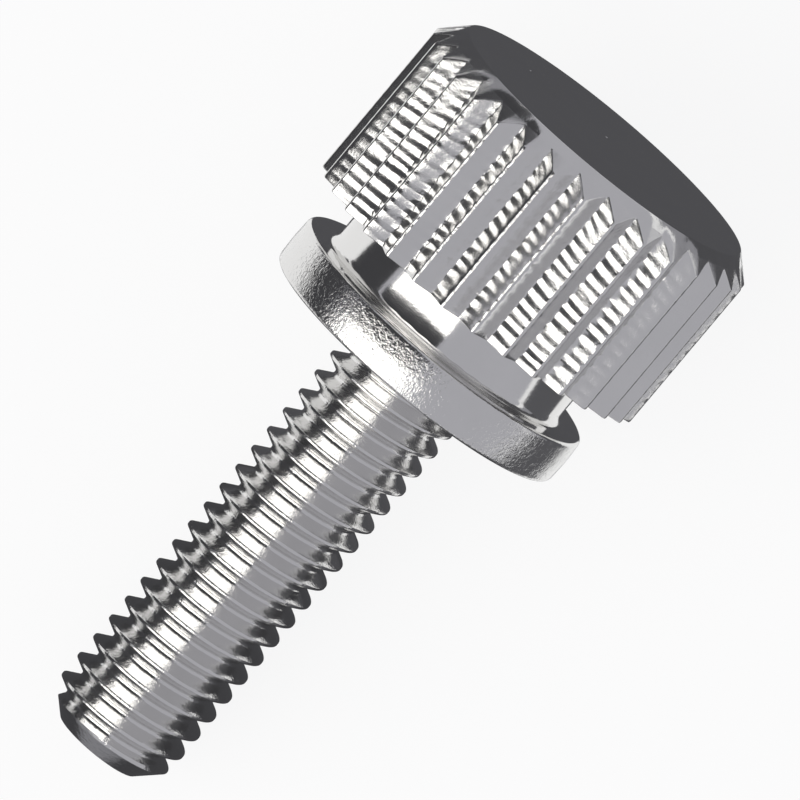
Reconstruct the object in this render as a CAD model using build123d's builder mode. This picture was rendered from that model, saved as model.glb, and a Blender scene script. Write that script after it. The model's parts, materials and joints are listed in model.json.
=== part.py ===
"""Thumb screw: a knurled head, a neck, a collar and a threaded shank, turned from one bar.

The screw lies on its side on a flat surface at Z = 0, as it comes to rest. The floor touches it
at the collar-side end of the two lowest ribs and at the first full thread behind the tip.
X runs along the screw towards the head, Y across it, and the origin is on the floor, at the
middle of the screw's outline. Lengths are in millimetres, and the profile is given in the
screw's own terms: distance along the axis from the head's face, and radius.
"""

import math
import os

from build123d import *

# Head
head_diameter = 8.0
head_height = 4.0
head_chamfer = 0.5
rib_count = 32
groove_depth = 0.30
crest_land = 0.06

# Neck between the head and the collar
neck_diameter = 5.7
neck_height = 1.0
neck_corner_radius = 0.2

# Collar
collar_diameter = 7.0
collar_thickness = 1.0
collar_edge_radius = 0.1

# Shank: M3 x 0.5 coarse thread, 10 mm long. It is a plain rod at the thread's own outside
# diameter, the middle of tolerance class 6g; the thread form is left to the visual model.
thread_diameter = 2.93
thread_length = 10.0
tip_chamfer = 0.5

# Distances along the axis from the head's face
neck_start = head_height
collar_start = neck_start + neck_height
bearing_face = collar_start + collar_thickness
screw_length = bearing_face + thread_length
last_full_thread = screw_length - tip_chamfer

head_radius = head_diameter / 2
neck_radius = neck_diameter / 2
collar_radius = collar_diameter / 2
thread_radius = thread_diameter / 2

# One V groove: its root on the centre line, its walls ending at the crest lands
rib_angle = 360 / rib_count
land_angle = math.degrees(crest_land / head_radius)
groove_half_angle = math.radians((rib_angle - land_angle) / 2)
groove_root_radius = head_radius - groove_depth
groove_corner_x = head_radius * math.sin(groove_half_angle)
groove_corner_y = head_radius * math.cos(groove_half_angle)
cutter_reach = 1.5
cutter_half_width = groove_corner_x * cutter_reach
cutter_top = groove_root_radius + (groove_corner_y - groove_root_radius) * cutter_reach

# How it lies: a groove points straight down, so that two rib corners share the load, and the
# line from those corners to the last full thread is on the floor
resting_rib_depth = groove_corner_y
lie_angle = math.atan2(resting_rib_depth - thread_radius, last_full_thread - neck_start)
lie_cos = math.cos(lie_angle)
lie_sin = math.sin(lie_angle)

# The head's face centre, placed so that the outline's middle is above the origin. The lowest
# point of the face's rim reaches furthest one way, the highest point of the tip the other way.
face_rim_radius = head_radius - head_chamfer
tip_radius = thread_radius - tip_chamfer
reach_ahead = face_rim_radius * lie_sin
reach_behind = screw_length * lie_cos + tip_radius * lie_sin
face_centre_x = (reach_behind - reach_ahead) / 2
face_centre_z = neck_start * lie_sin + resting_rib_depth * lie_cos

face_centre = Vector(face_centre_x, 0, face_centre_z)
towards_tip = Vector(-lie_cos, 0, -lie_sin)
screw_axis = Axis(face_centre, towards_tip)

profile_plane = Plane(origin=face_centre, x_dir=towards_tip, z_dir=(0, 1, 0))
face_plane = Plane(origin=face_centre, x_dir=(0, 1, 0), z_dir=towards_tip)

with BuildPart() as thumb_screw:
    # Head: a disc with a chamfered face, then straight V grooves along its whole height
    with BuildSketch(profile_plane):
        with BuildLine():
            Polyline(
                (0, 0),
                (0, face_rim_radius),
                (head_chamfer, head_radius),
                (head_height, head_radius),
                (head_height, 0),
                close=True,
            )
        make_face()
    revolve(axis=screw_axis)
    with BuildSketch(face_plane):
        with PolarLocations(0, rib_count):
            Polygon(
                (groove_root_radius, 0),
                (cutter_top, -cutter_half_width),
                (cutter_top, cutter_half_width),
                align=None,
            )
    extrude(amount=head_height, mode=Mode.SUBTRACT)

    # Neck: a waist with a rounded corner against the head and against the collar
    neck_flat_start = neck_start + neck_corner_radius
    neck_flat_end = collar_start - neck_corner_radius
    neck_flare_radius = neck_radius + neck_corner_radius
    with BuildSketch(profile_plane):
        with BuildLine():
            Line((neck_start, 0), (neck_start, neck_flare_radius))
            RadiusArc(
                (neck_start, neck_flare_radius),
                (neck_flat_start, neck_radius),
                -neck_corner_radius,
            )
            Line((neck_flat_start, neck_radius), (neck_flat_end, neck_radius))
            RadiusArc(
                (neck_flat_end, neck_radius),
                (collar_start, neck_flare_radius),
                -neck_corner_radius,
            )
            Line((collar_start, neck_flare_radius), (collar_start, 0))
            Line((collar_start, 0), (neck_start, 0))
        make_face()
    revolve(axis=screw_axis)

    # Collar: a plain disc, its far side the bearing face
    with BuildSketch(face_plane.offset(collar_start)):
        Circle(collar_radius)
    extrude(amount=collar_thickness)
    collar_rims = thumb_screw.edges(Select.LAST).filter_by(GeomType.CIRCLE)
    outer_rims = collar_rims.filter_by(lambda edge: edge.radius > neck_flare_radius)
    fillet(outer_rims, collar_edge_radius)

    # Shank: a rod with a chamfered tip
    with BuildSketch(face_plane.offset(bearing_face)):
        Circle(thread_radius)
    extrude(amount=thread_length)
    tip_rim = thumb_screw.edges().filter_by(GeomType.CIRCLE).sort_by(screw_axis)[-1]
    chamfer(tip_rim, tip_chamfer)

os.makedirs("parts", exist_ok=True)
thumb_screw.part.label = "thumb_screw"
export_step(thumb_screw.part, "parts/thumb_screw.step")
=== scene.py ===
import json
import math

import bpy
from bpy.props import FloatProperty, FloatVectorProperty, IntProperty, PointerProperty
from mathutils import Matrix, Vector, noise

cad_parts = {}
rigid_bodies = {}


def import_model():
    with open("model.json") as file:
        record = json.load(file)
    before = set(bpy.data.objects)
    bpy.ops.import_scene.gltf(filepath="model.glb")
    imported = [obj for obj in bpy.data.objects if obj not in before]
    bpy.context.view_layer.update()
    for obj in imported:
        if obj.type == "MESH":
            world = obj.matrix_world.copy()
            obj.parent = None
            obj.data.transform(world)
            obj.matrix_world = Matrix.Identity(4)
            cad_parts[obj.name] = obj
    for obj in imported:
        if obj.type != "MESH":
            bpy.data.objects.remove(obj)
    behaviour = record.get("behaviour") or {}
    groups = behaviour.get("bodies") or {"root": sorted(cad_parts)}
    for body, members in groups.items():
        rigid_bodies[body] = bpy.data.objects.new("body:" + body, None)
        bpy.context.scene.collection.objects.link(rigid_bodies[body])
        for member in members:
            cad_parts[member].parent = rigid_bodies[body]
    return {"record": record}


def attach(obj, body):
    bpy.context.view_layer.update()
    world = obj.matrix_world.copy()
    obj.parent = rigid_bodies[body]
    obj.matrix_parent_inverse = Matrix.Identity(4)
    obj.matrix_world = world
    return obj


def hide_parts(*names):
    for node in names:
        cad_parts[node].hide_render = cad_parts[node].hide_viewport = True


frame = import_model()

bl_info = {
    "name": "Knurled Thumb Screw",
    "version": (1, 0, 0),
    "blender": (4, 5, 0),
    "location": "View3D > Sidebar > Thumb Screw",
    "description": "Models a turned thumb screw, its bright plated finish and a plain studio around it",
    "category": "Add Mesh",
}

# The screw is modelled upright, in millimetres: its head's face at height 0, its tip below.
# At that size the mesh operators' own small tolerances stay far below its finest edges.
MM = 1000.0
MERGE = 1e-4
FULL_TURN = 2 * math.pi

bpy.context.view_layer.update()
MOUNTS = {mount["name"]: mount for mount in frame["record"]["mounts"]}
FACE_CENTRE = Vector(MOUNTS["head_face"]["pos_m"])
TOWARDS_HEAD = Vector(MOUNTS["head_face"]["axis"]).normalized()
SKYWARD = (Vector((0, 0, 1)) - TOWARDS_HEAD * TOWARDS_HEAD.z).normalized()
SIDEWAYS = TOWARDS_HEAD.cross(SKYWARD)
BEARING_DEPTH = TOWARDS_HEAD.dot(FACE_CENTRE - Vector(MOUNTS["bearing_face"]["pos_m"]))
THREAD_RADIUS = MOUNTS["thread_shank"]["dims"]["r_mm"] / MM
TIP_CHAMFER = 0.0005
SCREW_LENGTH = (
    BEARING_DEPTH + MOUNTS["thread_shank"]["dims"]["length_mm"] / MM + TIP_CHAMFER
)


# Two small pits in the head's face, as far as they are skyward and sideways of its centre
PITS = ((-0.00064, -0.00201), (-0.00035, 0.0))
PIT_RADIUS = 0.00007
PIT_DEPTH = 0.00006

# Depth of the pebbling where it is strongest, and its share along the screw, as (depth, share)
PEBBLE_DEPTH = 0.000012
FACE_PEBBLE, HEAD_PEBBLE, NECK_PEBBLE = 0.04, 0.3, 0.06
COLLAR_PEBBLE, THREAD_PEBBLE = 1.0, 0.5

# Where the lamp and the standing cards are: their turn about the screw's axis from straight up
# and their lean towards the head, both in degrees, and their distance from the axis in metres.
# The standing cards glow and only the metal's reflections show them: painted dark reflections.
LAMP_PLACE = ((-58, 3), (-60, -8.8), 0.4)
STANDING_REFLECTION_CARDS = (
    ("far_side_card", 0.06, ((-112, -61), (-70, 70), 0.02)),
    ("head_side_card", 0.06, ((-61, 3), (-8.6, 48), 0.4)),
)

# The cards on the floor: their brightness, and two opposite corners in metres. Where two
# overlap, the later one lies on top. They glow and only the metal's reflections show them:
# painted dark and grey reflections.
FLOOR_REFLECTION_CARDS = (
    ("near_side_card", 0.11, (-0.06, -0.06), (0.06, -0.007)),
    # Painted shadow under the head and collar, seen only in the metal's reflections
    ("under_shadow_card", 0.085, (-0.001, -0.004), (0.0085, 0.004)),
    ("head_card", 0.085, (0.0085, -0.016), (0.026, 0.016)),
    ("ahead_card", 0.3, (0.026, -0.06), (0.1, 0.06)),
    ("beside_card", 0.3, (0.0085, -0.06), (0.026, -0.016)),
    # Painted shadow under the thread, seen only in the metal's reflections
    ("thread_shadow_card", 0.06, (-0.012, -0.007), (-0.001, 0.006)),
    ("tip_card", 0.25, (-0.06, -0.007), (-0.012, 0.03)),
)
CARD_THICKNESS = 0.00001
FLOOR_SIZE = 4.0


def length(name, description, default):
    """A size in metres that a user may change."""
    return FloatProperty(
        name=name, description=description, default=default, min=0.0, unit="LENGTH", precision=6
    )


def colour(name, description, default):
    """A colour that a user may change."""
    return FloatVectorProperty(
        name=name, description=description, default=default, size=4, min=0.0, max=1.0,
        subtype="COLOR",
    )


class HeadSizes(bpy.types.PropertyGroup):
    radius: length("Radius", "From the axis to the tops of the ribs", 0.004)
    height: length("Height", "From the face to the underside", 0.004)
    chamfer: length("Chamfer", "Width of the 45 degree chamfer round the face", 0.0005)
    ribs: IntProperty(name="Ribs", description="Number of ribs round the head", default=32, min=8)
    groove_depth: length("Groove depth", "From the tops of the ribs to the groove's root", 0.0003)
    crest_land: length("Rib top", "Width of the flat left along the top of a rib", 0.00006)
    crest_round: length("Rib edge radius", "Rounding along the top of a rib", 0.00005)
    root_round: length("Groove root radius", "Rounding along the bottom of a groove", 0.00004)
    rim_round: length("Rim radius", "Rounding where the chamfer meets the face and ribs", 0.00004)
    mark_spacing: length("Tool mark spacing", "Distance between the marks in a groove", 0.00025)
    mark_depth: length("Tool mark depth", "Height of the marks in a groove", 0.00002)


class CollarSizes(bpy.types.PropertyGroup):
    neck_radius: length("Neck radius", "Radius of the waist below the head", 0.00285)
    neck_height: length("Neck height", "From the head's underside to the collar", 0.001)
    neck_round: length("Neck corner radius", "Rounding in the corners of the waist", 0.0002)
    radius: length("Collar radius", "Radius of the collar", 0.0035)
    edge_round: length("Collar edge radius", "Rounding on the collar's two edges", 0.0001)
    crown: length("Collar crown", "How far the collar's side bulges", 0.00002)


class ThreadSizes(bpy.types.PropertyGroup):
    pitch: length("Pitch", "Distance from one crest to the next", 0.0005)
    depth: length("Depth", "From the crest to the root", 0.0003)
    crest: length("Crest width", "Width of the flat along the crest", 0.00006)
    crest_round: length("Crest radius", "Rounding on the crest's edges", 0.000015)
    root_round: length("Root radius", "Rounding in the root", 0.00006)
    start: FloatProperty(
        name="Start", description="Where the winding starts below the tip, in pitches",
        default=1.4, min=1.0,
    )


class FinishColours(bpy.types.PropertyGroup):
    plating: colour("Plating", "Colour of the bright nickel plating", (0.78, 0.775, 0.765, 1.0))
    roughness: FloatProperty(
        name="Roughness", description="Blur of the plating's reflections", default=0.09,
        min=0.0, max=1.0, subtype="FACTOR",
    )
    groove_blur: FloatProperty(
        name="Groove roughness", description="Roughness added on the grooves' walls",
        default=0.12, min=0.0, max=1.0, subtype="FACTOR",
    )


class StageSettings(bpy.types.PropertyGroup):
    floor: colour("Floor", "Colour of the floor", (1.0, 1.0, 1.0, 1.0))
    shadow_fill: FloatProperty(
        name="Shadow fill", description="How far the floor's shadow is lightened", default=0.88,
        min=0.0, max=1.0, subtype="FACTOR",
    )
    walls: colour("Walls", "Colour of the studio around the screw", (0.47, 0.47, 0.505, 1.0))
    lamp: colour("Lamp", "Colour of the large soft lamp", (1.0, 0.98, 0.93, 1.0))
    lamp_strength: FloatProperty(
        name="Lamp strength", description="Brightness of the large soft lamp", default=1.5, min=0.0
    )
    lean: FloatProperty(
        name="Camera lean", description="Lean of the view towards the head, from square on",
        default=math.radians(10.3), subtype="ANGLE",
    )
    swing: FloatProperty(
        name="Camera swing", description="Turn of the view about the screw's axis",
        default=math.radians(-0.65), subtype="ANGLE",
    )
    slant: FloatProperty(
        name="Slant in the picture", description="Slope of the screw across the picture",
        default=math.radians(50.0), subtype="ANGLE",
    )
    frame_width: length("Picture width", "Width of what the picture takes in", 0.01594)
    lens: FloatProperty(name="Lens", description="Focal length", default=900.0, unit="CAMERA")


SETTINGS = {
    "screw_head": HeadSizes,
    "screw_collar": CollarSizes,
    "screw_thread": ThreadSizes,
    "screw_finish": FinishColours,
    "screw_stage": StageSettings,
}


# ---------------------------------------------------------------- outlines


def rounded(corners, radii, steps):
    """An outline whose inner corners are arcs. radii holds one radius for each inner corner."""
    corners = [Vector(corner) for corner in corners]
    outline = [corners[0]]
    for before, corner, after, radius in zip(corners, corners[1:], corners[2:], radii):
        if radius <= 0:
            outline.append(corner)
            continue
        back = (before - corner).normalized()
        ahead = (after - corner).normalized()
        half_angle = back.angle(ahead) / 2
        reach = radius / math.tan(half_angle)
        centre = corner + (back + ahead).normalized() * radius / math.sin(half_angle)
        start = corner + back * reach - centre
        end = corner + ahead * reach - centre
        for step in range(steps + 1):
            outline.append(centre + radius * start.slerp(end, step / steps))
    outline.append(corners[-1])
    return outline


def divided(outline, longest):
    """The same outline with its long straight stretches cut into equal lengths."""
    points = [outline[0]]
    for start, end in zip(outline, outline[1:]):
        cuts = max(1, math.ceil((end - start).length / longest))
        points += [start.lerp(end, cut / cuts) for cut in range(1, cuts + 1)]
    return points


# ---------------------------------------------------------------- modelling by operators


def pick_only(piece):
    """Deselects everything, then makes piece the only selected and active object."""
    for other in bpy.context.view_layer.objects:
        other.select_set(False)
    piece.select_set(True)
    bpy.context.view_layer.objects.active = piece


def edit(piece):
    """Opens piece in edit mode with nothing selected."""
    pick_only(piece)
    bpy.ops.object.mode_set(mode="EDIT")
    bpy.ops.mesh.select_mode(type="VERT")
    bpy.ops.mesh.select_all(action="DESELECT")


def leave_edit():
    bpy.ops.object.mode_set(mode="OBJECT")


def merge_doubles():
    """Merges the doubled vertices of the mesh in edit mode."""
    bpy.ops.mesh.select_all(action="SELECT")
    bpy.ops.mesh.remove_doubles(threshold=MERGE)


def wire(name, outline):
    """An object of one open line of vertices, given as (radius, height)."""
    mesh = bpy.data.meshes.new(name)
    points = [(radius, 0.0, height) for radius, height in outline]
    mesh.from_pydata(points, [(i, i + 1) for i in range(len(points) - 1)], [])
    piece = bpy.data.objects.new(name, mesh)
    bpy.context.scene.collection.objects.link(piece)
    return piece


def turn(name, outline, steps):
    """Turns an outline once round the axis, as on a lathe."""
    piece = wire(name, outline)
    edit(piece)
    bpy.ops.mesh.select_all(action="SELECT")
    bpy.ops.mesh.spin(
        steps=steps, angle=FULL_TURN, center=(0, 0, 0), axis=(0, 0, 1), use_auto_merge=False
    )
    merge_doubles()
    leave_edit()
    return piece


def apply_modifier(piece, kind, **settings):
    """Adds one modifier to piece and applies it."""
    modifier = piece.modifiers.new(kind.title(), kind)
    for key, value in settings.items():
        setattr(modifier, key, value)
    pick_only(piece)
    bpy.ops.object.modifier_apply(modifier=modifier.name)


def select_open_edges(piece, height):
    """Selects the open edges of piece that lie in the level plane at height."""
    bpy.ops.mesh.select_mode(type="EDGE")
    bpy.ops.mesh.select_all(action="DESELECT")
    leave_edit()
    mesh = piece.data
    faces_on = {}
    for polygon in mesh.polygons:
        for key in polygon.edge_keys:
            faces_on[key] = faces_on.get(key, 0) + 1
    heights = [vertex.co.z for vertex in mesh.vertices]
    for edge in mesh.edges:
        level = all(abs(heights[v] - height) < MERGE for v in edge.vertices)
        edge.select = level and faces_on.get(edge.key, 0) == 1
    bpy.ops.object.mode_set(mode="EDIT")
    bpy.ops.mesh.select_mode(type="EDGE")


# ---------------------------------------------------------------- the head


def rib_section(head):
    """The head's outline across one groove, from rib top to rib top, as (radius, across)."""
    radius = head.radius * MM
    half_step = math.pi / head.ribs
    land_edge = half_step - head.crest_land / head.radius / 2
    corners = [
        (radius * math.cos(half_step), -radius * math.sin(half_step)),
        (radius * math.cos(land_edge), -radius * math.sin(land_edge)),
        (radius - head.groove_depth * MM, 0.0),
        (radius * math.cos(land_edge), radius * math.sin(land_edge)),
        (radius * math.cos(half_step), radius * math.sin(half_step)),
    ]
    crest, root = head.crest_round * MM, head.root_round * MM
    return divided(rounded(corners, (crest, root, crest), 2), 0.16)


def rib_drop(head, radius, rows):
    """One line down the head at a given radius: face rim, chamfer, wall and lower edge."""
    rim = (head.radius - head.chamfer) * MM
    soft = head.rim_round * MM
    floor = -head.height * MM
    corners = [
        (rim - 2 * soft, 0.0),
        (rim, 0.0),
        (radius, rim - radius),
        (radius, floor),
        (radius - 2 * soft, floor),
    ]
    line = rounded(corners, (soft, soft, soft), 2)
    top, bottom = line[6], line[7]
    wall = [top.lerp(bottom, row / rows) for row in range(1, rows)]
    return line[:7] + wall + line[7:]


def tool_mark(head, groove, height, across):
    """How far a tool mark lifts the groove's wall, with the wear of the tool in it."""
    spacing = head.mark_spacing * MM
    side = 1.0 if across > 0 else -1.0
    drift = noise.noise(Vector((groove * 5.3, height * 1.7, side * 2.1)))
    bite = noise.noise(Vector((groove * 3.7, height * 3.1 + 40.0, side * 1.3)))
    wave = math.cos(FULL_TURN * (height / spacing + 0.5 * drift + 0.37 * groove))
    nick = noise.noise(Vector((groove * 7.1, height * 11.0, across * 9.0)))
    half_width = head.radius * MM * math.sin(math.pi / head.ribs)
    inside = min(1.0, 1.6 * (1.0 - abs(across) / half_width))
    return head.mark_depth * MM * ((0.7 + 1.1 * bite) * wave + 0.7 * nick) * inside


class MESH_OT_screw_head(bpy.types.Operator):
    """Models the knurled head: one groove, copied round, with its chamfer and tool marks"""

    bl_idname = "mesh.screw_head"
    bl_label = "Head"

    def execute(self, context):
        head = context.scene.screw_head
        section = rib_section(head)
        marks = round((head.height - head.chamfer) / head.mark_spacing)
        drops = [rib_drop(head, Vector(point).length, 6 * marks) for point in section]
        columns, rows = len(drops) - 1, len(drops[0]) - 1

        bpy.ops.object.select_all(action="DESELECT")
        bpy.ops.mesh.primitive_grid_add(x_subdivisions=columns, y_subdivisions=rows, size=1.0)
        piece = context.active_object
        piece.name = piece.data.name = "head"
        for vertex in piece.data.vertices:
            column = round((vertex.co.x + 0.5) * columns)
            radius, height = drops[column][round((0.5 - vertex.co.y) * rows)]
            bearing = math.atan2(section[column][1], section[column][0])
            vertex.co = (radius * math.cos(bearing), radius * math.sin(bearing), height)

        edit(piece)
        bpy.ops.mesh.select_all(action="SELECT")
        bpy.ops.mesh.spin(
            steps=head.ribs - 1, angle=FULL_TURN * (head.ribs - 1) / head.ribs, dupli=True,
            center=(0, 0, 0), axis=(0, 0, 1),
        )
        merge_doubles()
        select_open_edges(piece, 0.0)
        bpy.ops.mesh.edge_face_add()
        leave_edit()
        self.cut_tool_marks(head, piece)
        return {"FINISHED"}

    def cut_tool_marks(self, head, piece):
        """Lifts and sinks the groove walls below the chamfer by the tool's marks."""
        step = FULL_TURN / head.ribs
        first = -(head.chamfer + head.rim_round) * MM
        last = -(head.height - 2 * head.rim_round) * MM
        for vertex in piece.data.vertices:
            x, y, height = vertex.co
            radius = math.hypot(x, y)
            if radius < (head.radius - head.groove_depth) * MM - MERGE:
                continue
            fade = min(1.0, (first + 0.25 - height) / 0.25, (height - last) / 0.1)
            if fade <= 0:
                continue
            bearing = math.atan2(y, x)
            groove = round(bearing / step)
            across = radius * math.sin(bearing - groove * step)
            lift = fade * tool_mark(head, groove % head.ribs, height, across)
            vertex.co = (x * (1 + lift / radius), y * (1 + lift / radius), height)


# ---------------------------------------------------------------- neck and collar


class MESH_OT_screw_collar(bpy.types.Operator):
    """Turns the neck and the collar, with their rounded corners and edges"""

    bl_idname = "mesh.screw_collar"
    bl_label = "Neck and Collar"

    def execute(self, context):
        head, collar = context.scene.screw_head, context.scene.screw_collar
        neck_top = -head.height * MM
        collar_top = neck_top - collar.neck_height * MM
        underside = -BEARING_DEPTH * MM
        ring = (collar.neck_radius + 2 * collar.neck_round) * MM
        corners = [
            (ring, neck_top),
            (collar.neck_radius * MM, neck_top),
            (collar.neck_radius * MM, collar_top),
            (collar.radius * MM, collar_top),
            ((collar.radius + collar.crown) * MM, (collar_top + underside) / 2),
            (collar.radius * MM, underside),
            ((collar.radius - 3 * collar.edge_round) * MM, underside),
        ]
        corner, edge = collar.neck_round * MM, collar.edge_round * MM
        crown = 8 * edge
        outline = rounded(corners, (corner, corner, edge, crown, edge), 6)
        turn("collar", outline, 224)
        return {"FINISHED"}


# ---------------------------------------------------------------- the thread


class MESH_OT_screw_thread(bpy.types.Operator):
    """Winds the right-hand thread from one tooth, cuts it to length and chamfers its tip"""

    bl_idname = "mesh.screw_thread"
    bl_label = "Thread"

    def execute(self, context):
        thread = context.scene.screw_thread
        piece = wire("thread", self.tooth(thread))
        pitch = thread.pitch * MM
        turns = math.ceil((SCREW_LENGTH - BEARING_DEPTH) * MM / pitch) + 3
        apply_modifier(
            piece, "SCREW", angle=FULL_TURN, screw_offset=pitch, iterations=turns,
            steps=96, render_steps=96, use_normal_calculate=True,
        )
        edit(piece)
        merge_doubles()
        self.cut(piece, -BEARING_DEPTH * MM, keep_below=True)
        self.cut(piece, -SCREW_LENGTH * MM, keep_below=False)
        bpy.ops.mesh.select_all(action="SELECT")
        bpy.ops.mesh.normals_make_consistent(inside=False)
        leave_edit()
        self.chamfer_tip(piece)
        return {"FINISHED"}

    def tooth(self, thread):
        """One tooth, root to root, below the screw's tip."""
        crest = THREAD_RADIUS * MM
        root = crest - thread.depth * MM
        flank = thread.depth * MM * math.tan(math.radians(30))
        middle = -(SCREW_LENGTH + thread.start * thread.pitch) * MM
        half_crest = thread.crest * MM / 2
        half_pitch = thread.pitch * MM / 2
        corners = [
            (root, middle - half_pitch),
            (root, middle - half_crest - flank),
            (crest, middle - half_crest),
            (crest, middle + half_crest),
            (root, middle + half_crest + flank),
            (root, middle + half_pitch),
        ]
        edge, valley = thread.crest_round * MM, thread.root_round * MM
        return divided(rounded(corners, (valley, edge, edge, valley), 2), 0.18)

    def cut(self, piece, height, keep_below):
        """Cuts the thread square at a height. The tip is closed, the collar's end stays open."""
        bpy.ops.mesh.select_all(action="SELECT")
        bpy.ops.mesh.bisect(
            plane_co=(0, 0, height), plane_no=(0, 0, 1), use_fill=not keep_below,
            clear_outer=keep_below, clear_inner=not keep_below, threshold=1e-6,
        )

    def chamfer_tip(self, piece):
        """Turns the thread's end down to a 45 degree cone."""
        tip = -SCREW_LENGTH * MM
        tip_radius = (THREAD_RADIUS - TIP_CHAMFER) * MM
        for vertex in piece.data.vertices:
            x, y, height = vertex.co
            radius = math.hypot(x, y)
            cone = tip_radius + height - tip
            if radius > cone:
                vertex.co = (x * cone / radius, y * cone / radius, height)


# ---------------------------------------------------------------- the finish


class NodeBench:
    """Adds nodes to one tree and joins them up."""

    def __init__(self, tree):
        self.tree = tree
        tree.nodes.clear()

    def add(self, kind, inputs=None, **settings):
        node = self.tree.nodes.new(kind)
        for key, value in settings.items():
            setattr(node, key, value)
        for key, value in (inputs or {}).items():
            if isinstance(value, bpy.types.NodeSocket):
                self.tree.links.new(value, node.inputs[key])
            else:
                node.inputs[key].default_value = value
        return node

    def math(self, operation, *values):
        node = self.add("ShaderNodeMath", dict(enumerate(values)), operation=operation)
        return node.outputs[0]

    def ramp(self, value, stops):
        """A blend of colours along value, from (place, colour) pairs."""
        node = self.add("ShaderNodeValToRGB", {"Fac": value})
        elements = node.color_ramp.elements
        for _ in range(len(stops) - 2):
            elements.new(0.5)
        for element, (position, shade) in zip(elements, stops):
            element.position = position
            element.color = shade
        return node.outputs["Color"]


def grey(share):
    """A plain grey of the given brightness."""
    return (share, share, share, 1.0)


def own_frame():
    """The turn from the upright screw's frame to where it lies."""
    return Matrix((SKYWARD, SIDEWAYS, TOWARDS_HEAD)).transposed()


def bright_plating(finish, head, collar):
    """Bright nickel plating: smooth on the face and neck, slightly pebbled elsewhere."""
    material = bpy.data.materials.new("bright_plating")
    material.use_nodes = True
    bench = NodeBench(material.node_tree)
    place = bench.add("ShaderNodeTexCoord")
    upright = bench.add("ShaderNodeMapping", {
        "Vector": place.outputs["Object"],
        "Location": FACE_CENTRE,
        "Rotation": own_frame().to_euler(),
    }, vector_type="TEXTURE")
    at = upright.outputs["Vector"]
    apart = bench.add("ShaderNodeSeparateXYZ", {"Vector": at})
    depth = bench.math("MULTIPLY", apart.outputs["Z"], -1.0)

    # How pebbled the plating is, from the head's face (0) to the tip (1)
    share = bench.math("DIVIDE", depth, SCREW_LENGTH)
    neck_top = head.height / SCREW_LENGTH
    collar_top = (head.height + collar.neck_height) / SCREW_LENGTH
    underside = BEARING_DEPTH / SCREW_LENGTH
    pebble = bench.ramp(share, [
        (0.0, grey(FACE_PEBBLE)),
        (0.03, grey(HEAD_PEBBLE)),
        (neck_top - 0.004, grey(HEAD_PEBBLE)),
        (neck_top + 0.004, grey(NECK_PEBBLE)),
        (collar_top + 0.001, grey(NECK_PEBBLE)),
        (collar_top + 0.006, grey(COLLAR_PEBBLE)),
        (underside, grey(COLLAR_PEBBLE)),
        (underside + 0.01, grey(THREAD_PEBBLE)),
    ])
    coarse = bench.add("ShaderNodeTexNoise", {
        "Vector": at, "Scale": 11000.0, "Detail": 3.0, "Roughness": 0.6, "Distortion": 0.6,
    })
    fine = bench.add("ShaderNodeTexNoise", {
        "Vector": at, "Scale": 26000.0, "Detail": 2.0, "Roughness": 0.5,
    })
    relief = bench.math(
        "ADD", coarse.outputs["Fac"], bench.math("MULTIPLY", fine.outputs["Fac"], 0.35)
    )
    bump = bench.add("ShaderNodeBump", {
        "Height": bench.math("MULTIPLY", relief, pebble),
        "Strength": 1.0,
        "Distance": PEBBLE_DEPTH,
    })
    for skyward, sideways in PITS:
        reach = bench.add("ShaderNodeVectorMath", {
            0: at, 1: (skyward, sideways, 0.0),
        }, operation="DISTANCE").outputs["Value"]
        hollow = bench.add("ShaderNodeMapRange", {
            "Value": reach, "From Min": 0.0, "From Max": PIT_RADIUS, "To Min": 0.0, "To Max": 1.0,
        }, interpolation_type="SMOOTHSTEP").outputs["Result"]
        bump = bench.add("ShaderNodeBump", {
            "Height": hollow, "Strength": 1.0, "Distance": PIT_DEPTH,
            "Normal": bump.outputs["Normal"],
        })
    cloud = bench.add("ShaderNodeTexNoise", {
        "Vector": at, "Scale": 900.0, "Detail": 4.0, "Roughness": 0.6,
    })
    blur = bench.add("ShaderNodeMapRange", {
        "Value": cloud.outputs["Fac"], "From Min": 0.3, "From Max": 0.7,
        "To Min": finish.roughness * 0.8, "To Max": finish.roughness * 1.35,
    })

    # The cut walls of the grooves are a little duller than the rest
    from_axis = bench.math("SQRT", bench.math(
        "ADD", bench.math("POWER", apart.outputs["X"], 2.0),
        bench.math("POWER", apart.outputs["Y"], 2.0),
    ))
    cut = bench.add("ShaderNodeMapRange", {
        "Value": from_axis, "From Min": head.radius - 0.00003, "From Max": head.radius - 0.00006,
        "To Min": 0.0, "To Max": finish.groove_blur,
    }).outputs["Result"]
    on_head = bench.math(
        "MULTIPLY", bench.math("LESS_THAN", depth, head.height + 0.0001),
        bench.math("GREATER_THAN", depth, 0.0002),
    )
    rough = bench.math("MULTIPLY_ADD", cut, on_head, blur.outputs["Result"])
    plating = Vector(finish.plating)
    tint = bench.ramp(cloud.outputs["Fac"], [
        (0.3, plating * 0.96), (0.7, plating),
    ])
    shader = bench.add("ShaderNodeBsdfPrincipled", {
        "Base Color": tint,
        "Metallic": 1.0,
        "Roughness": rough,
        "Normal": bump.outputs["Normal"],
    })
    bench.add("ShaderNodeOutputMaterial", {"Surface": shader.outputs["BSDF"]})
    return material


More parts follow.
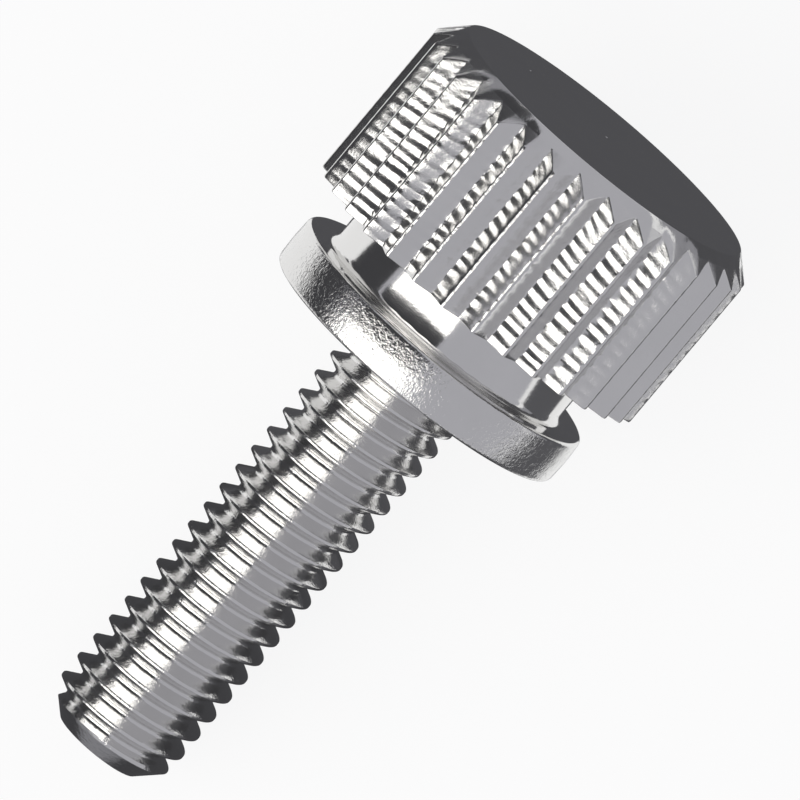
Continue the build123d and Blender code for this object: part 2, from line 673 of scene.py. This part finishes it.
class OBJECT_OT_screw_finish(bpy.types.Operator):
    """Joins the head, collar and thread into the one-piece screw, plates it and lays it down"""

    bl_idname = "object.screw_finish"
    bl_label = "Join and Plate"

    def execute(self, context):
        scene = context.scene
        parts = [scene.objects[name] for name in ("head", "collar", "thread")]
        piece = parts[0]
        pick_only(piece)
        for part in parts:
            part.select_set(True)
        bpy.ops.object.join()
        piece.name = piece.data.name = "plated_thumb_screw"

        bpy.ops.object.mode_set(mode="EDIT")
        for level in (scene.screw_head.height, BEARING_DEPTH):
            select_open_edges(piece, -level * MM)
            bpy.ops.mesh.fill(use_beauty=True)
        bpy.ops.mesh.select_all(action="SELECT")
        bpy.ops.mesh.normals_make_consistent(inside=False)
        leave_edit()

        laid = Matrix.Translation(FACE_CENTRE) @ own_frame().to_4x4()
        piece.matrix_world = laid @ Matrix.Scale(1 / MM, 4)
        pick_only(piece)
        bpy.ops.object.transform_apply(location=True, rotation=True, scale=True)
        bpy.ops.object.shade_smooth_by_angle(angle=math.radians(32))
        apply_modifier(
            piece, "WEIGHTED_NORMAL", mode="FACE_AREA", weight=100, keep_sharp=True
        )

        piece.data.materials.clear()
        piece.data.materials.append(
            bright_plating(scene.screw_finish, scene.screw_head, scene.screw_collar)
        )
        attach(piece, "root")
        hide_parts("thumb_screw")
        return {"FINISHED"}


# ---------------------------------------------------------------- the stage


def aim(turn):
    """The direction that is turned about the screw's axis from straight up, in degrees."""
    turn = math.radians(turn)
    return SKYWARD * math.cos(turn) + SIDEWAYS * math.sin(turn)


def place_panel(panel, turns, leans, distance):
    """Faces a panel to the screw, so that it fills the given turns and leans. Returns its size."""
    middle = (turns[0] + turns[1]) / 2
    half_turn = math.radians(turns[1] - turns[0]) / 2
    near, far = (distance * math.tan(math.radians(lean)) for lean in leans)
    outward, along = aim(middle), TOWARDS_HEAD
    across = along.cross(outward)
    turned = Matrix((across, along, outward)).transposed().to_4x4()
    centre = frame_middle() + outward * distance + along * (near + far) / 2
    panel.matrix_world = Matrix.Translation(centre) @ turned
    return 2 * distance * math.tan(half_turn), far - near


def frame_middle():
    """The middle of the screw, on its axis."""
    return FACE_CENTRE - TOWARDS_HEAD * BEARING_DEPTH


def soft_lamp(stage):
    """The large soft lamp over the screw."""
    data = bpy.data.lights.new("soft_lamp", "AREA")
    data.shape = "RECTANGLE"
    lamp = bpy.data.objects.new("soft_lamp", data)
    bpy.context.scene.collection.objects.link(lamp)
    data.size, data.size_y = place_panel(lamp, *LAMP_PLACE)
    data.energy = stage.lamp_strength * 4 * data.size * data.size_y
    data.color = stage.lamp[:3]
    lamp.visible_camera = False


def standing_reflection_card(name, shade, place):
    """A grey card held beside the screw, which glows at its own brightness: a painted dark reflection.
    """
    piece = glowing_reflection_card(name, shade)
    width, height = place_panel(piece, *place)
    piece.scale = (width, height, 1.0)


def floor_reflection_card(name, shade, start, end, height):
    """A grey card that lies on the floor, from one corner to the other, which glows at its own
    brightness: a painted reflection.
    """
    piece = glowing_reflection_card(name, shade)
    piece.location = ((start[0] + end[0]) / 2, (start[1] + end[1]) / 2, height)
    piece.scale = (end[0] - start[0], end[1] - start[1], 1.0)


def glowing_reflection_card(name, shade):
    """A grey card which glows at its own brightness, lights nothing, casts no shadow and shows only in
    the metal's reflections: a painted reflection.
    """
    bpy.ops.object.select_all(action="DESELECT")
    bpy.ops.mesh.primitive_plane_add(size=1.0)
    piece = bpy.context.active_object
    piece.name = piece.data.name = name
    material = bpy.data.materials.new(piece.name)
    material.use_nodes = True
    bench = NodeBench(material.node_tree)
    # Painted reflection: the card's grey is given off by the card itself, not lit, and the camera never
    # sees it
    glow = bench.add("ShaderNodeEmission", {"Color": (shade, shade, shade * 1.08, 1.0)})
    bench.add("ShaderNodeOutputMaterial", {"Surface": glow.outputs["Emission"]})
    piece.data.materials.append(material)
    piece.visible_camera = False
    piece.visible_diffuse = False
    piece.visible_shadow = False
    return piece


def studio_world(stage):
    """The studio's plain grey walls."""
    world = bpy.data.worlds.new("studio")
    bpy.context.scene.world = world
    world.use_nodes = True
    bench = NodeBench(world.node_tree)
    background = bench.add("ShaderNodeBackground", {"Color": stage.walls, "Strength": 1.0})
    bench.add("ShaderNodeOutputWorld", {"Surface": background.outputs["Background"]})


def pale_floor(stage):
    """The plain pale floor."""
    bpy.ops.object.select_all(action="DESELECT")
    bpy.ops.mesh.primitive_plane_add(size=FLOOR_SIZE, location=(0, 0, 0))
    floor = bpy.context.active_object
    floor.name = floor.data.name = "floor"
    material = bpy.data.materials.new("pale_floor")
    material.use_nodes = True
    bench = NodeBench(material.node_tree)
    matt = bench.add("ShaderNodeBsdfDiffuse", {"Color": stage.floor})
    plain = bench.add("ShaderNodeEmission", {"Color": stage.floor})
    path = bench.add("ShaderNodeLightPath")
    seen = bench.math("MAXIMUM", path.outputs["Is Camera Ray"], path.outputs["Is Glossy Ray"])
    seen = bench.math("MAXIMUM", seen, path.outputs["Is Transmission Ray"])
    mixed = bench.add("ShaderNodeMixShader", {
        0: bench.math("MULTIPLY", seen, stage.shadow_fill),
        1: matt.outputs["BSDF"],
        2: plain.outputs["Emission"],
    })
    bench.add("ShaderNodeOutputMaterial", {"Surface": mixed.outputs["Shader"]})
    floor.data.materials.append(material)


class OBJECT_OT_screw_stage(bpy.types.Operator):
    """Sets up the floor, the studio's light and the camera, which looks down on the screw"""

    bl_idname = "object.screw_stage"
    bl_label = "Stage"

    def execute(self, context):
        stage = context.scene.screw_stage
        facing = SKYWARD * math.cos(stage.swing) + SIDEWAYS * math.sin(stage.swing)
        back = facing * math.cos(stage.lean) + TOWARDS_HEAD * math.sin(stage.lean)
        along = (TOWARDS_HEAD - back * TOWARDS_HEAD.dot(back)).normalized()
        beside = back.cross(along)
        right = along * math.cos(stage.slant) - beside * math.sin(stage.slant)
        upward = along * math.sin(stage.slant) + beside * math.cos(stage.slant)

        # The middle of the picture: a point just past the collar, a little off the axis
        middle = FACE_CENTRE - TOWARDS_HEAD * (BEARING_DEPTH + 0.00068) - beside * 0.0002
        data = bpy.data.cameras.new("camera")
        data.lens = stage.lens
        camera = bpy.data.objects.new("camera", data)
        context.scene.collection.objects.link(camera)
        distance = stage.frame_width * data.lens / data.sensor_width
        turned = Matrix((right, upward, back)).transposed().to_4x4()
        camera.matrix_world = Matrix.Translation(middle + back * distance) @ turned
        data.clip_start, data.clip_end = distance / 10, distance * 10
        context.scene.camera = camera

        studio_world(stage)
        soft_lamp(stage)
        pale_floor(stage)
        # Glowing cards that only the metal's reflections show: painted dark and grey reflections, with
        # those under the screw as its painted shadow
        for name, shade, place in STANDING_REFLECTION_CARDS:
            standing_reflection_card(name, shade, place)
        for layer, (name, shade, start, end) in enumerate(FLOOR_REFLECTION_CARDS, start=1):
            floor_reflection_card(name, shade, start, end, layer * CARD_THICKNESS)
        context.scene.view_settings.view_transform = "Standard"
        return {"FINISHED"}


STEPS = (
    MESH_OT_screw_head,
    MESH_OT_screw_collar,
    MESH_OT_screw_thread,
    OBJECT_OT_screw_finish,
    OBJECT_OT_screw_stage,
)


class VIEW3D_PT_thumb_screw(bpy.types.Panel):
    """Lists the screw's sizes and the steps that make it"""

    bl_label = "Thumb Screw"
    bl_idname = "VIEW3D_PT_thumb_screw"
    bl_space_type = "VIEW_3D"
    bl_region_type = "UI"
    bl_category = "Thumb Screw"

    def draw(self, context):
        for step in STEPS:
            self.layout.operator(step.bl_idname)
        for name, group in SETTINGS.items():
            box = self.layout.box()
            for key in group.__annotations__:
                box.prop(getattr(context.scene, name), key)


def register():
    for group in (*SETTINGS.values(), *STEPS, VIEW3D_PT_thumb_screw):
        bpy.utils.register_class(group)
    for name, group in SETTINGS.items():
        setattr(bpy.types.Scene, name, PointerProperty(type=group))


def unregister():
    for name in SETTINGS:
        delattr(bpy.types.Scene, name)
    for group in reversed((*SETTINGS.values(), *STEPS, VIEW3D_PT_thumb_screw)):
        bpy.utils.unregister_class(group)


def main():
    register()
    bpy.ops.mesh.screw_head()
    bpy.ops.mesh.screw_collar()
    bpy.ops.mesh.screw_thread()
    bpy.ops.object.screw_finish()
    bpy.ops.object.screw_stage()


if __name__ == "__main__":
    main()
